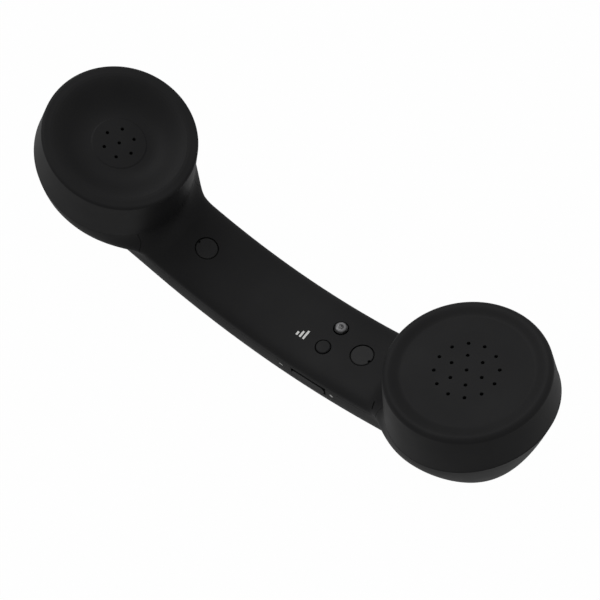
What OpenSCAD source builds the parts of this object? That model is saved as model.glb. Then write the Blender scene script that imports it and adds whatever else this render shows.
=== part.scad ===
// Cordless telephone handset in millimetres: two round caps on an arched hollow handle.
// It lies on its back with both caps up. +Z is up, X runs from earpiece to mouthpiece,
// -Y is the side with the volume rocker. The origin is under its middle, at the bottom.

/* [Overall] */
// distance between the centres of the two cap rims
cap_spacing = 149.2; // [130:0.1:170]
// height of the rim centres above the middle of the handle's face
rim_rise = 43.5; // [36:0.1:50]
// how far each cap leans toward the other, degrees
cap_cant = 16.8; // [10:0.1:22]

/* [Caps] */
// radius of each cap at its rim
cap_r = 28.3; // [25:0.1:32]
// growth of the cap radius per millimetre below the rim
cap_flare = 0.11; // [0.05:0.005:0.16]
// height of the cap wall at the far end from the handle
cap_h_out = 14.1; // [12:0.1:17]
// height of the cap wall on the handle's side
cap_h_in = 21.5; // [20.5:0.1:22.5]
// thickness of the cap walls and faces
cap_wall = 2.2; // [1.6:0.1:3]
// rounding at the outer edge of the earpiece rim
ear_rim_round = 1.2; // [1:0.1:3]
// width of the earpiece rim, from its outer edge to where the dish begins
ear_rim_w = 3.2; // [2.8:0.1:6]
// depth of the dish under the rim, at the disc with the holes
ear_depth = 5.9; // [4:0.1:7]
// radius of the disc in the middle of the dish
ear_disc_r = 10; // [8:0.1:12]
// height of that disc above the dish round it
ear_disc_rise = 0.2; // [0.1:0.1:0.6]
// width of the mouthpiece rim, from its outer edge to the flat face inside it
mouth_rim_w = 6.4; // [5:0.1:8]
// depth of the mouthpiece face under its rim
mouth_depth = 1.5; // [1:0.1:3]
// rounding at the outer edge of the mouthpiece rim
mouth_rim_round = 2; // [1:0.1:3]
// thickness of the lip that locates a cap in the handle
lip_t = 1.3; // [1:0.1:2]
// how far the lip reaches into the handle
lip_reach = 2; // [1:0.1:3]
// space between the lip and the wall round it
lip_space = 0.9; // [0.6:0.1:1.5]
// depth at which the lip leaves the cap wall
lip_top = 10.5; // [9:0.1:12]

/* [Hole patterns] */
// diameter of the sound holes
sound_hole_d = 1.3; // [0.8:0.1:2]
// radius of the ring of six in the earpiece
ear_ring_r = 5.7; // [4:0.1:7]
// radius of the inner ring of six in the mouthpiece
mouth_ring_a = 5.9; // [4:0.1:7]
// radius of the outer ring of twelve in the mouthpiece
mouth_ring_b = 10.8; // [9:0.1:13]
// number of holes in the inner rings
ring_count = 6; // [4:1:8]

/* [Handle] */
// radius of the arched face along its middle
face_arc_r = 178; // [160:1:230]
// thickness of the handle from face to back
handle_t = 21; // [18:0.1:25]
// half of the handle's width
handle_half_w = 16.8; // [15.6:0.1:18.6]
// how far the parting edge lies below the middle of the face
crown_h = 5.3; // [4.5:0.1:7]
// thickness of the handle shells
shell_wall = 2.2; // [1.6:0.1:2.4]
// gap along the line where the two handle shells meet
shell_gap = 0.16; // [0.05:0.01:0.3]
// how much of the round back is cut flat, to lie on
rest_cut = 1; // [0.5:0.1:1.4]
// distance from the middle where the back's arc turns into the bowl
bowl_start_x = 79; // [60:0.5:82]
// pull of the bowl's curve at its upper end
bowl_pull_top = 30.5; // [8:0.5:45]
// pull of the bowl's curve at its lower end
bowl_pull_low = 27.5; // [8:0.5:45]
// lean of the bowl's outer end, degrees from upright
bowl_lean = 2.5; // [-8:0.5:20]
// squareness of the back's cross-section, 2 is an ellipse
back_square = 3.3; // [2:0.05:3.8]
// squareness of the face's cross-section, 2 is an ellipse
face_square = 3.5; // [2:0.05:3.8]

/* [Controls] */
// distance of the answer button from the middle, along X
button_x = 22; // [15:0.1:28]
// distance of the button and the lamp from the centreline
button_y = 5.1; // [4:0.1:7]
// diameter of the answer button
button_d = 5.4; // [4:0.1:7]
// height of the button above the face
button_proud = 0.4; // [0.2:0.1:1]
// how far the button travels
button_travel = 0.7; // [0.4:0.1:1]
// diameter of the lamp lens
lens_d = 5.2; // [3:0.1:6]
// distance of the lamp lens from the middle, along X
lens_x = 22.7; // [15:0.1:28]
// gap round the button, the lens and the rocker
key_gap = 0.4; // [0.2:0.05:0.5]
// distance of the volume rocker from the middle, along X
rocker_x = 23.3; // [22:0.1:26]
// length of the volume rocker
rocker_l = 15; // [12:0.1:16]
// height of the volume rocker
rocker_h = 3.6; // [3:0.1:4.5]
// how far the rocker stands out of the side
rocker_proud = 0.3; // [0.2:0.1:1.2]
// diameter of the rocker's pin
rocker_pin_d = 1.2; // [1:0.1:1.6]

/* [Screws and plugs] */
// distance of the plug near the earpiece from the middle, along X
ear_plug_x = 37; // [35:0.1:39]
// distance of the plug near the mouthpiece from the middle, along X
mouth_plug_x = 35.8; // [35:0.1:39]
// diameter of a plug
plug_d = 8.5; // [7:0.1:10]
// thickness of a plug
plug_t = 1.5; // [1:0.1:2]
// gap round a plug
plug_gap = 0.35; // [0.1:0.05:0.4]
// diameter of the screw's shank
screw_d = 2.5; // [2:0.1:3]
// diameter of the screw's head
screw_head_d = 4.8; // [4:0.1:6]
// height of the screw's head
screw_head_h = 1.8; // [1.2:0.1:2.5]
// length of the screw's shank
screw_l = 10; // [7:0.5:12]
// clearance round a screw
screw_gap = 0.3; // [0.2:0.05:0.5]
// wall of a screw boss
boss_wall = 1.9; // [1.2:0.1:2.4]

/* [Board and battery] */
// depth of the board's top under the face
board_depth = 10.2; // [9:0.1:12]
// board length
board_l = 29; // [24:0.5:30]
// space between the board's long edges and the outside of the handle
board_side_room = 4.3; // [3.8:0.1:6]
// board thickness
board_t = 1.2; // [0.8:0.1:1.6]
// length of the radio's can on the board
can_l = 9; // [6:0.5:10]
// width of the radio's can
can_w = 8; // [6:0.5:9]
// space between the radio's can and the wire socket beside it
can_gap = 1; // [0.6:0.1:2]
// length of a screw that holds the board
small_screw_l = 4.5; // [3:0.5:6]
// board centre along X
board_x = 15.6; // [13:0.1:18]
// battery length
battery_l = 27; // [20:0.5:30]
// space between the battery and the outside of the handle
battery_side_room = 6.8; // [5.4:0.1:9]
// battery thickness
battery_t = 6; // [4:0.1:7]
// battery centre along X
battery_x = -16.5; // [-20:0.1:-14]
// depth of the battery's top under the face
battery_depth = 5.4; // [4:0.1:7]
// thickness of the foam pad under the battery
pad_t = 1; // [0.5:0.1:2]
// width of the charging socket
port_w = 7.6; // [7:0.1:9.2]
// height of the charging socket
port_h = 2.7; // [2.4:0.1:3.4]
// depth of the charging socket
port_l = 5.4; // [5:0.1:7]
// distance of the charging socket from the middle, along X
port_x = 17; // [12:0.1:22]

/* [Speaker] */
// space between the speaker and the outside of the earpiece rim
speaker_room = 10.3; // [9.3:0.1:13]
// radius of its magnet
magnet_r = 9.5; // [7:0.1:12]
// height of its magnet
magnet_h = 5; // [3:0.1:8]
// depth of the seat that the speaker lies against
speaker_seat_z = 9.4; // [9:0.1:11]
// thickness of the speaker's gasket
gasket_t = 0.8; // [0.5:0.1:1.5]
// height of the speaker's frame
basket_h = 6.2; // [5:0.1:8]

/* [Microphone] */
// diameter of the microphone capsule
mic_d = 9.7; // [6:0.1:10]
// height of the microphone capsule
mic_h = 4.5; // [3:0.1:6]
// wall of its rubber boot
boot_wall = 2.1; // [1.9:0.1:2.4]

/* [Hidden] */
$fn = 64;
eps = 0.02;
// clearance between pieces that are fixed to each other
seat_gap = 0.05;
// small screws and the posts they go into
small_screw_d = 1.7;
small_head_d = 3.2;
small_head_h = 1.1;
post_r = 2.3;
// thickness of the speaker frame's flange
flange_t = 1.2;
// depth of the wire sockets' tops under the face
socket_depth = board_depth - 2.4;
// fineness of the handle's surface along its length and round it
fan_steps = 12;
arc_steps = 7;
front_cols = 16;
back_cols = 34;
// share of the bowl's length that its upper curve takes
curve_share = 0.85;
// angle round the neck at which the parting edge leaves the cap
neck_angle = 32.8;
// how slowly the parting edge turns down to the handle's side
neck_power = 2.2;
// how quickly the width falls from the bowl to the handle
width_power = 0.885;
// how quickly the widest line moves toward the face
crown_power = 0.776;

face_z = handle_t - rest_cut;
rim_z = face_z + rim_rise;
arc_mid = [0, face_z + face_arc_r];
back_arc_r = face_arc_r + handle_t;
ax_n = [sin(cap_cant), cos(cap_cant)];
ax_u = [cos(cap_cant), -sin(cap_cant)];
rim_mid = [-cap_spacing / 2, rim_z];
flare_angle = atan(cap_flare);
ear_dish_bottom = ear_depth + ear_disc_rise;
ear_dish_start = ear_disc_r + 0.5;
ear_rim_in = cap_r - ear_rim_w;
mouth_face_r = cap_r - mouth_rim_w;
speaker_r = cap_r - speaker_room;
board_w = 2 * (handle_half_w - board_side_room);
battery_w = 2 * (handle_half_w - battery_side_room);

// radius of the cap's outside at depth d under the rim
function cap_rad(d) = cap_r + cap_flare * d;

// the two ends of the cap's lower edge, in the plane of symmetry
edge_in = rim_mid + ax_u * cap_rad(cap_h_in) - ax_n * cap_h_in;
edge_out = rim_mid - ax_u * cap_rad(cap_h_out) - ax_n * cap_h_out;
edge_tilt = atan((cap_h_in - cap_h_out) / (cap_rad(cap_h_in) + cap_rad(cap_h_out)));
edge_half_w = sqrt(cap_rad(cap_h_in) * cap_rad(cap_h_out));

// the fillet between cap wall and face: tangent to both
wall_normal = ax_u * cos(flare_angle) + ax_n * sin(flare_angle);
from_mid = edge_in - arc_mid;
neck_r = (pow(face_arc_r, 2) - from_mid * from_mid) / (2 * (wall_normal * from_mid + face_arc_r));
neck_mid = edge_in + neck_r * wall_normal;
neck_turn = atan2(-neck_mid[0], arc_mid[1] - neck_mid[1]);
neck_a0 = atan2(-wall_normal[1], -wall_normal[0]) + (wall_normal[1] > 0 ? 360 : 0);
neck_a1 = 270 - neck_turn;

bowl_turn = asin(bowl_start_x / back_arc_r);
bowl_low = arc_mid + back_arc_r * [-sin(bowl_turn), -cos(bowl_turn)];
bowl_low_dir = [-cos(bowl_turn), sin(bowl_turn)];
bowl_top_dir = [sin(bowl_lean), -cos(bowl_lean)];

function ease(s) = s * s * (3 - 2 * s);
function signed_pow(v, e) = sign(v) * pow(abs(v), 2 / e);
function bezier(t, a, b, c, d) =
    pow(1 - t, 3) * a + 3 * pow(1 - t, 2) * t * b + 3 * (1 - t) * t * t * c + pow(t, 3) * d;

// face and back points of the section at s: 0 at the cap's edge, 1 at the neck, 2 in the middle
function face_pt(s) =
    s <= 1
    ? let (a = neck_a0 + (neck_a1 - neck_a0) * s) neck_mid + neck_r * [cos(a), sin(a)]
    : let (a = neck_turn * (2 - s)) arc_mid - face_arc_r * [sin(a), cos(a)];
function back_pt(s) =
    s < curve_share
    ? bezier(s / curve_share, edge_out, edge_out + bowl_top_dir * bowl_pull_top,
             bowl_low + bowl_low_dir * bowl_pull_low, bowl_low)
    : s <= 1
    ? let (a = bowl_turn + (neck_turn - bowl_turn) * (s - curve_share) / (1 - curve_share))
      arc_mid - back_arc_r * [sin(a), cos(a)]
    : let (a = neck_turn * (2 - s)) arc_mid - back_arc_r * [sin(a), cos(a)];
function half_w(s) =
    s >= 1 ? handle_half_w : edge_half_w + (handle_half_w - edge_half_w) * ease(pow(s, width_power));
function crown_share(s) =
    s >= 1 ? crown_h / handle_t : 0.5 + (crown_h / handle_t - 0.5) * pow(ease(s), crown_power);
function squareness(s, full) = 2 + (full - 2) * ease(min(1, s));

// a section holds its face point, direction, depth, half width, crown share and squareness of back and face
function section(s) =
    let (f = face_pt(s), b = back_pt(s), l = norm(f - b))
    [f, (f - b) / l, l, half_w(s), crown_share(s), squareness(s, back_square), squareness(s, face_square)];
// point of a section at angle a: 0 on the face, 90 at the side, 180 on the back
function flat_pt(c, a) =
    let (up = cos(a) >= 0, e = up ? c[6] : c[5], r = up ? c[2] * c[4] : c[2] * (1 - c[4]))
    [signed_pow(cos(a), e) * r, signed_pow(sin(a), e) * c[3]];
function inner_pt(c, a, d) =
    let (t = flat_pt(c, a + 0.5) - flat_pt(c, a - 0.5), n = [t[1], -t[0]] / norm(t)) flat_pt(c, a) - n * d;
function space_pt(c, p) =
    let (m = c[0] - c[1] * c[2] * c[4] + c[1] * p[0]) [m[0], p[1], m[1]];

steps = concat([for (i = [0:fan_steps]) i / fan_steps], [for (i = [1:arc_steps]) 1 + i / arc_steps]);
all_steps = concat(steps, [for (i = [len(steps) - 2:-1:0]) 4 - steps[i]]);
function edge_angle(s) =
    neck_angle + (90 - neck_angle) * pow(ease(min(1, s)), neck_power);

// turn from the parting edge, found by stepping, at which half of the gap is reached
function gap_turn(c, lim, way, d, n) =
    n == 0
    ? d
    : let (reach = norm(flat_pt(c, lim + way * d) - flat_pt(c, lim)))
      gap_turn(c, lim, way, d * pow(shell_gap / 2 / reach, 1.3), n - 1);
// one sheet of a handle shell at depth d, as rows of points from one parting edge to the other
function sheet(front, cols, d) =
    [for (s = all_steps)
        let (h = s > 2 ? 4 - s : s,
             c = section(h),
             lim = edge_angle(h),
             g = gap_turn(c, lim, front ? -1 : 1, 0.2, 7),
             a0 = front ? g - lim : lim + g,
             a1 = front ? lim - g : 360 - lim - g)
        [for (i = [0:cols])
            let (a = a0 + (a1 - a0) * i / cols,
                 p = space_pt(c, d > 0 ? inner_pt(c, a, d) : flat_pt(c, a)))
            s > 2 ? [-p[0], p[1], p[2]] : p]];

// closed skin between an outer and an inner sheet
module skin(front, cols) {
    outer = sheet(front, cols, 0);
    inner = sheet(front, cols, shell_wall);
    n = cols + 1;
    m = len(outer);
    points = concat([for (r = outer) each r], [for (r = inner) each r]);
    function at(k, i, j) = k * m * n + i * n + j;
    function quad(a, b, c, d) = [[a, c, b], [a, d, c]];
    e = m - 1;
    faces = concat(
        [for (i = [0:m - 2], j = [0:cols - 1])
            each quad(at(0, i, j), at(0, i + 1, j), at(0, i + 1, j + 1), at(0, i, j + 1))],
        [for (i = [0:m - 2], j = [0:cols - 1])
            each quad(at(1, i, j), at(1, i, j + 1), at(1, i + 1, j + 1), at(1, i + 1, j))],
        [for (j = [0:cols - 1]) each quad(at(0, 0, j), at(0, 0, j + 1), at(1, 0, j + 1), at(1, 0, j))],
        [for (j = [0:cols - 1]) each quad(at(0, e, j + 1), at(0, e, j), at(1, e, j), at(1, e, j + 1))],
        [for (i = [0:m - 2]) each quad(at(0, i + 1, 0), at(0, i, 0), at(1, i, 0), at(1, i + 1, 0))],
        [for (i = [0:m - 2]) each quad(at(0, i, cols), at(0, i + 1, cols), at(1, i + 1, cols), at(1, i, cols))]);
    polyhedron(points = points, faces = faces, convexity = 10);
}
// the frames that the pieces are placed in
module at_ear() translate([rim_mid[0], 0, rim_mid[1]]) rotate([0, cap_cant, 0]) children();
module at_mouth() mirror([1, 0, 0]) at_ear() children();
module on_face(x) {
    translate([0, 0, arc_mid[1]])
    rotate([0, -asin(x / face_arc_r), 0])
    translate([0, 0, -face_arc_r])
    children();
}
function soft_step(r0, r1, d, lag, n) =
    [for (i = [0:n]) [r0 + (r1 - r0) * i / n, -d * (1 - ease(pow(i / n, lag)))]];
function arc_pts(c, r, a0, a1, n) = [for (i = [0:n]) let (a = a0 + (a1 - a0) * i / n) c + r * [cos(a), sin(a)]];
function wall_in(d) = cap_rad(d) - cap_wall;

// box with its middle at the origin along X and Y, rising from z
module block(l, w, z0, z1) translate([-l / 2, -w / 2, z0]) cube([l, w, z1 - z0]);
// round rod from z0 to z1
module post(r, z0, z1) translate([0, 0, z0]) cylinder(r = r, h = z1 - z0);
// turn a child's Z to direction v
module aimed(v) rotate([0, acos(v[2] / norm(v)), atan2(v[1], v[0])]) children();
// round rod between two points
module rod(a, b, d) translate(a) aimed(b - a) cylinder(d = d, h = norm(b - a), $fn = 24);

// everything under a cap's lower edge, drop lower
module under_edge(drop) {
    mid_z = -cap_h_out - (cap_h_in - cap_h_out) * cap_rad(cap_h_out) / (cap_rad(cap_h_in) + cap_rad(cap_h_out));
    translate([0, 0, mid_z - drop]) rotate([0, edge_tilt, 0]) block(3 * cap_r, 3 * cap_r, -2 * cap_r, 0);
}
// ring on the inside of a cap that locates it in the handle
lip_r = wall_in(lip_top) - lip_space;
wall_end = cap_h_in + 3;
module cap_lip() {
    difference() {
        rotate_extrude() polygon([
            [wall_in(lip_top) + eps * 10, -lip_top],
            [lip_r - lip_t, -lip_top - 0.6],
            [lip_r - lip_t, -wall_end],
            [lip_r, -wall_end],
            [lip_r, -lip_top - lip_t],
            [wall_in(lip_top) + eps * 10, -lip_top - lip_t]]);
        under_edge(lip_reach);
    }
}

// earpiece cap: rim, dish with its disc, wall, speaker seat and screw posts
seat_in_r = speaker_r - 2.4;
seat_out_r = speaker_r + 1;
clamp_z = speaker_seat_z + gasket_t + flange_t;
ear_post_r = seat_out_r + 2.8;
ear_under = ear_dish_bottom + cap_wall;
// how late the dish rises toward its rim
ear_dish_lag = 1.3;
module ear_posts() for (a = [30, 150, 270]) rotate(a) translate([ear_post_r, 0, 0]) children();
module ear_cap() color("#222326") at_ear() {
    difference() {
        union() {
            difference() {
                rotate_extrude($fn = 120) polygon(concat(
                    [[0, -ear_depth], [ear_disc_r - 0.3, -ear_depth], [ear_disc_r + 0.2, -ear_dish_bottom]],
                    soft_step(ear_dish_start, ear_rim_in, ear_dish_bottom, ear_dish_lag, 14),
                    arc_pts([cap_r - ear_rim_round, -ear_rim_round], ear_rim_round, 90, 0, 5),
                    [[cap_rad(wall_end), -wall_end], [wall_in(wall_end), -wall_end], [wall_in(5), -5],
                     [ear_rim_in - 1, -3.5], [seat_out_r, -7], [seat_out_r, -speaker_seat_z],
                     [seat_in_r, -speaker_seat_z], [seat_in_r, -ear_under + 0.4], [ear_dish_start, -ear_under],
                     [0, -ear_depth - cap_wall]]));
                under_edge(0);
            }
            cap_lip();
            ear_posts() post(post_r, -clamp_z + seat_gap, -4.2);
        }
        for (p = ear_holes) translate(p) post(sound_hole_d / 2, -ear_under - 1, 0, $fn = 24);
        ear_posts() post(small_screw_d / 2 + seat_gap, -clamp_z - 1, -clamp_z + 5);
    }
}
function ring(n, r) = [for (i = [0:n - 1]) [r * cos(i * 360 / n), r * sin(i * 360 / n), 0]];
ear_holes = concat([[0, 0, 0]], ring(ring_count, ear_ring_r));
mouth_holes = concat([[0, 0, 0]], ring(ring_count, mouth_ring_a), ring(2 * ring_count, mouth_ring_b));

// mouthpiece cap: soft rim, flat face with the sound holes, wall and a collar for the microphone's boot
mouth_under = mouth_depth + cap_wall;
mouth_dome = 0.3;
boot_r = mic_d / 2 + boot_wall;
collar_wall = 1.2;
collar_end = 7;
module mouth_cap() color("#222326") at_mouth() {
    difference() {
        rotate_extrude($fn = 120) polygon(concat(
            [[0, -mouth_depth + mouth_dome], [mouth_face_r * 0.5, -mouth_depth + mouth_dome * 0.75]],
            soft_step(mouth_face_r, cap_r - mouth_rim_round, mouth_depth, 1, 10),
            arc_pts([cap_r - mouth_rim_round, -mouth_rim_round], mouth_rim_round, 80, 0, 6),
            [[cap_rad(wall_end), -wall_end], [wall_in(wall_end), -wall_end], [wall_in(6), -6],
             [mouth_face_r + 1, -mouth_under], [0, -mouth_under]]));
        under_edge(0);
        for (p = mouth_holes) translate(p) post(sound_hole_d / 2, -mouth_under - 1, 0, $fn = 24);
    }
    cap_lip();
    difference() {
        post(boot_r + seat_gap + collar_wall, -collar_end, -mouth_under + eps);
        post(boot_r + seat_gap, -collar_end - 1, -mouth_under);
    }
}

// screw joint under each plug
plug_hole_r = plug_d / 2 + plug_gap;
front_boss_r = plug_hole_r + 1;
front_boss_end = crown_h + 2.2;
head_seat = front_boss_end - 2.2;
back_boss_r = screw_d / 2 + boss_wall + 0.2;
pilot_r = screw_d / 2 + seat_gap;
back_boss_top = front_boss_end + 0.1;
in_back_skin = handle_t - shell_wall / 2;
module at_plugs() {
    on_face(-ear_plug_x) children();
    on_face(mouth_plug_x) children();
}
control_z = -crown_h * (1 - pow(1 - pow(button_y / handle_half_w, face_square), 1 / face_square));
module at_button() on_face(button_x) translate([0, -button_y, control_z]) children();
module at_lens() on_face(lens_x) translate([0, button_y, control_z]) children();

// front shell of the handle, with the screw bosses and the holes for button, lamp and plugs
slit_place = [-edge_in[0] - 0.25, -14.9, edge_in[1] - 6.9];
module handle_front() color("#222326") {
    difference() {
        union() {
            skin(true, front_cols);
            at_plugs() post(front_boss_r, -front_boss_end, -shell_wall / 2);
        }
        at_plugs() {
            post(plug_hole_r, -plug_t - seat_gap, 5);
            post(screw_head_d / 2 + screw_gap, -head_seat, 0);
            post(screw_d / 2 + screw_gap, -front_boss_end - 1, 0);
        }
        at_button() post(button_d / 2 + key_gap, -5, 5);
        at_lens() post(lens_d / 2 + key_gap, -5, 5);
        translate(slit_place) rotate([0, -45, 0]) block(0.6, 2.6, -4, 4);
    }
}

// back shell of the handle, with its bosses and ribs and the openings for rocker and socket
rocker_z = -crown_h - key_gap - 0.1 - rocker_h / 2;
rib_t = 1.4;
rib_half_w = 6.5;
rib_step = 9;
pad_z = battery_depth + battery_t + seat_gap;
rib_top = pad_z + pad_t + seat_gap;
board_under = board_depth + board_t;
board_posts = [[2.9 - board_l / 2, 4.5 - board_w / 2], [2.9 - board_l / 2, board_w / 2 - 4.5],
               [board_l / 2 - 2.5, board_w / 2 - 3.5]];
board_post_r = 2.2;
port_z0 = -board_depth + seat_gap;
port_room = 0.4;
module at_board_posts() on_face(board_x) for (p = board_posts) translate([p[0], p[1], 0]) children();
module handle_back() color("#222326") {
    difference() {
        union() {
            skin(false, back_cols);
            at_plugs() post(back_boss_r, -in_back_skin, -back_boss_top);
            on_face(battery_x)
                for (i = [-1:1]) translate([i * rib_step, 0, 0])
                    block(rib_t, 2 * rib_half_w, -in_back_skin, -rib_top);
            at_board_posts() post(board_post_r, -in_back_skin + 4, -board_under - seat_gap);
            on_face(board_x) for (p = [board_posts[0], board_posts[2]]) translate([p[0], 0, 0])
                block(rib_t, 2 * rib_half_w, -in_back_skin, -in_back_skin + 5);
            on_face(board_x) for (p = board_posts)
                translate([p[0], p[1] * 0.7, 0]) block(rib_t, 7, -in_back_skin + 3.5, -in_back_skin + 6);
        }
        at_plugs() post(pilot_r, -head_seat - screw_l - 1, 0);
        at_board_posts() post(small_screw_d / 2 + seat_gap, -board_under - small_screw_l, 0);
        on_face(rocker_x) translate([0, -handle_half_w, 0])
            block(rocker_l + 2 * key_gap, 10, rocker_z - rocker_h / 2 - key_gap, -crown_h + 1);
        on_face(port_x) translate([0, handle_half_w, 0])
            block(port_w + 2 * port_room, 8, port_z0 - port_room, port_z0 + port_h + port_room);
        translate([-cap_spacing / 2, -cap_r, -5]) cube([cap_spacing, 2 * cap_r, 5]);
    }
}

// plug over a screw, with a bevelled edge and a small notch to lift it by, turned to angle a
plug_bevel = 0.25;
notch_r = 0.65;
module plug(a) {
    difference() {
        rotate_extrude() polygon([[0, -plug_t], [plug_d / 2, -plug_t], [plug_d / 2, -plug_bevel],
            [plug_d / 2 - plug_bevel, 0], [0, 0]]);
        rotate(a) translate([plug_d / 2 - 0.3, 0, 0]) post(notch_r, -1, 1, $fn = 24);
    }
}
module ear_plug() color("#2a2b2e") on_face(-ear_plug_x) plug(180);
module mouth_plug() color("#2a2b2e") on_face(mouth_plug_x) plug(-12);

// screw along -Z with its head's underside at z
module screw(d, head_d, head_h, l, z, cross) {
    difference() {
        union() {
            post(head_d / 2, z, z + head_h);
            post(d / 2, z - l, z + eps);
        }
        block(head_d * 0.6, cross, z + head_h / 2, z + head_h + 1);
        block(cross, head_d * 0.6, z + head_h / 2, z + head_h + 1);
    }
}
module shell_screws() color("#9a9da1") at_plugs()
    screw(screw_d, screw_head_d, screw_head_h, screw_l, -head_seat + seat_gap, 0.7);

// answer button with its flange and stem
flange_z = -shell_wall - 0.9;
flange_h = 0.8;
tact_h = 1.2;
stem_end = -board_depth + tact_h + button_travel + 0.3 - control_z;
module answer_button() color("#1f2023") at_button()
    rotate_extrude() polygon([[0, stem_end], [1.3, stem_end], [1.3, flange_z - flange_h],
        [button_d / 2 + key_gap + 0.25, flange_z - flange_h], [button_d / 2 + key_gap + 0.25, flange_z],
        [button_d / 2, flange_z],
        [button_d / 2, button_proud - 0.25], [button_d / 2 - 0.3, button_proud], [0, button_proud + 0.05]]);
module answer_switch() color("#c9cbce") on_face(button_x) translate([0, -button_y, 0]) {
    block(5.2, 5.2, -board_depth + seat_gap, -board_depth + 0.8);
    post(1.6, -board_depth + 0.5, -board_depth + tact_h);
}

// clear lens with a light pipe down to the lamp
lamp_h = 1.1;
lens_end = -board_depth + seat_gap + lamp_h + seat_gap - control_z;
lens_rise = 1.2;
module lamp_lens() color("#e8edf2") at_lens()
    rotate_extrude() polygon(concat([[0, lens_end], [1.4, lens_end], [1.6, flange_z - flange_h],
        [lens_d / 2 + key_gap + 0.25, flange_z - flange_h], [lens_d / 2 + key_gap + 0.25, flange_z],
        [lens_d / 2, flange_z]],
        [for (i = [0:6]) [lens_d / 2 * cos(i * 15), 0.1 + lens_rise * sin(i * 15)]]));
module lamp() color("#f6f2d8") on_face(lens_x) translate([0, button_y, 0])
    block(3.2, 2.8, -board_depth + seat_gap, -board_depth + seat_gap + lamp_h);

// volume rocker on its pin: a long key that tips about its middle
side_y = handle_half_w * pow(1 - pow((-rocker_z - crown_h) / (handle_t - crown_h), back_square), 1 / back_square);
rocker_out = side_y + rocker_proud;
rocker_in = side_y - 2.8;
tab_h = 1.9;
tab_w = 3.2;
pin_y = rocker_in - 1.3;
arm_t = 0.6;
module at_rocker() on_face(rocker_x) translate([0, 0, rocker_z]) children();
module rocker_pin_rod(r, a, b) at_rocker() translate([0, -pin_y, 0]) post(r, a, b, $fn = 32);
module volume_rocker() color("#1f2023") {
    difference() {
        at_rocker() {
            translate([0, -(rocker_out + rocker_in) / 2, 0])
                block(rocker_l - rocker_h, rocker_out - rocker_in, -rocker_h / 2, rocker_h / 2);
            for (s = [-1, 1]) translate([s * (rocker_l - rocker_h) / 2, -rocker_in, 0])
                rotate([90, 0, 0]) post(rocker_h / 2, 0, rocker_out - rocker_in);
            translate([0, -(rocker_in + pin_y - 1.1) / 2 - 0.05, 0])
                block(tab_w, rocker_in - pin_y + 1.2, -tab_h / 2, tab_h / 2);
        }
        rocker_pin_rod(rocker_pin_d / 2 + 0.1, -3, 3);
    }
}
pin_low = port_z0 - rocker_z;
pin_high = tab_h / 2 + 0.1 + arm_t;
module rocker_pin() color("#b9bcc0") rocker_pin_rod(rocker_pin_d / 2, pin_low, pin_high);
module rocker_bracket() color("#c9cbce") {
    difference() {
        at_rocker() {
            translate([0, -pin_y + 2.1, 0]) block(tab_w, 1, pin_low, pin_high);
            translate([0, -pin_y + 0.875, 0]) block(tab_w, 3.45, pin_low, pin_low + arm_t);
            translate([0, -pin_y + 0.875, 0]) block(tab_w, 3.45, pin_high - arm_t, pin_high);
        }
        rocker_pin_rod(rocker_pin_d / 2 + seat_gap, -5, 5);
    }
}
switch_x = 4.6;
switch_out = rocker_in - 1.3;
switch_gap = 0.3;
module rocker_switches() color("#3a3c40") for (s = [-1, 1]) {
    on_face(board_x) translate([rocker_x - board_x + s * switch_x, 1.3 - switch_out, 0])
        block(3.6, 2.6, port_z0, rocker_z + 1.2);
    at_rocker() translate([s * switch_x, eps - switch_out, 0]) rotate([90, 0, 0])
        post(0.7, 0, 1.3 - switch_gap, $fn = 24);
}

// main board with what stands on it
module main_board() color("#1d5b3a") {
    difference() {
        on_face(board_x) block(board_l, board_w, -board_under, -board_depth);
        at_board_posts() post(small_screw_d / 2 + 0.15, -board_under - 1, 0, $fn = 32);
    }
}
module board_screws() color("#b9bcc0") at_board_posts()
    screw(small_screw_d, small_head_d, small_head_h, small_screw_l, -board_depth + seat_gap, 0.5);
module radio_can() color("#b9bcc0") on_face(board_x) translate([1.5 + can_gap + can_l / 2 - socket_x, 0, 0])
    block(can_l, can_w, -board_depth + seat_gap, -board_depth + 1.8);
socket_x = board_l / 2 - 2.3;
socket_y = board_w / 2 - 3.1;
mic_socket_y = board_posts[1][1] - small_head_d / 2 - 2.8;
module wire_sockets() color("#e6e4dc") on_face(board_x) {
    translate([-socket_x, 0, 0]) block(3, 5, -board_depth + seat_gap, -socket_depth);
    translate([-socket_x / 2, socket_y, 0]) block(4, 3, -board_depth + seat_gap, -socket_depth);
    translate([socket_x, mic_socket_y, 0]) block(3, 4, -board_depth + seat_gap, -socket_depth);
}
module charge_socket() color("#a9acb0") on_face(port_x) {
    out = handle_half_w - 1.4;
    difference() {
        translate([0, out - port_l / 2, 0]) block(port_w, port_l, port_z0, port_z0 + port_h);
        translate([0, out - port_l / 2 + 0.6, 0]) block(port_w - 0.8, port_l, port_z0 + 0.4, port_z0 + port_h - 0.4);
    }
    translate([0, out - port_l / 2 + 0.3, 0]) block(port_w - 3, port_l - 1.6, port_z0 + 1.1, port_z0 + port_h - 0.9);
}

// battery on its foam pad
module battery() color("#8f959c") on_face(battery_x) {
    block(battery_l, battery_w - 2, -battery_depth - battery_t, -battery_depth);
    block(battery_l, battery_w, -battery_depth - battery_t + 1, -battery_depth - 1);
}
module battery_pad() color("#3b3d41") on_face(battery_x)
    block(battery_l - 3, battery_w - 5, -pad_z - pad_t, -pad_z);

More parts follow.
